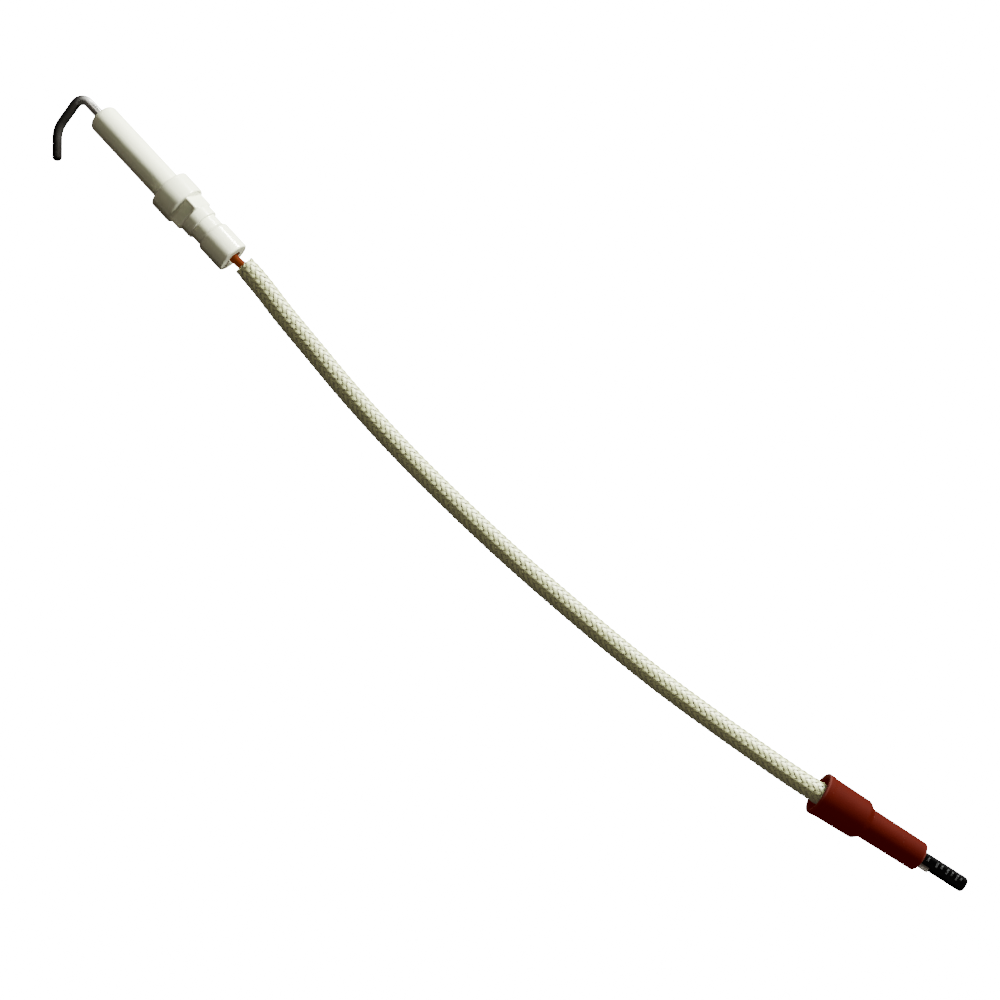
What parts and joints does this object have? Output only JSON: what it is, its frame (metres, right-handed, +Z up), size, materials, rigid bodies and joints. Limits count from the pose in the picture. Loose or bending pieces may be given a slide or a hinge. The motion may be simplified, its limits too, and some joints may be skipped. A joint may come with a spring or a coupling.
{
  "type": "ignition electrode",
  "caption": "Boiler ignition electrode: hooked rod in a stepped ceramic insulator, with a sleeved high-voltage lead ending in a crimped receptacle inside a sliding silicone boot.",
  "frame": {"origin": "centre of the ceramic collar's front face, on the insulator's axis, where the nose begins", "axes": "+X along the insulator's axis towards the electrode's hook, +Y the side that the hook points to, +Z up from the surface that the electrode lies on"},
  "size_m": [0.2721, 0.0412, 0.0104],
  "materials": {
    "electrode_wire": "oxidised, satin",
    "glazed_ceramic": "glossy glaze",
    "cement": "matt",
    "plated_steel": "nickel plated, satin",
    "potting": "matt",
    "tinned_wire": "tinned copper strands",
    "orange_silicone": "satin",
    "glass_braid": "varnished glass-fibre braid",
    "tinned_brass": "tin plated, bright",
    "black_shrink": "matt with faint pale marks",
    "red_silicone": "matt silicone rubber"
  },
  "bodies": {
    "electrode_and_lead": {"electrode_rod": "electrode_wire", "ceramic_insulator": "glazed_ceramic", "rod_cement": "cement", "joint_ferrule": "plated_steel", "rear_seal": "potting", "lead_conductor": "tinned_wire", "lead_insulation": "orange_silicone", "braided_sleeve": "glass_braid", "receptacle_terminal": "tinned_brass", "heat_shrink_tube": "black_shrink"},
    "boot": {"silicone_boot": "red_silicone"}
  },
  "joints": [
    {"name": "boot_slide", "type": "slide", "parent": "electrode_and_lead", "child": "boot", "axis": [-0.9679, -0.2514, 0], "range_m": [-0.004, 0.012]}
  ]
}
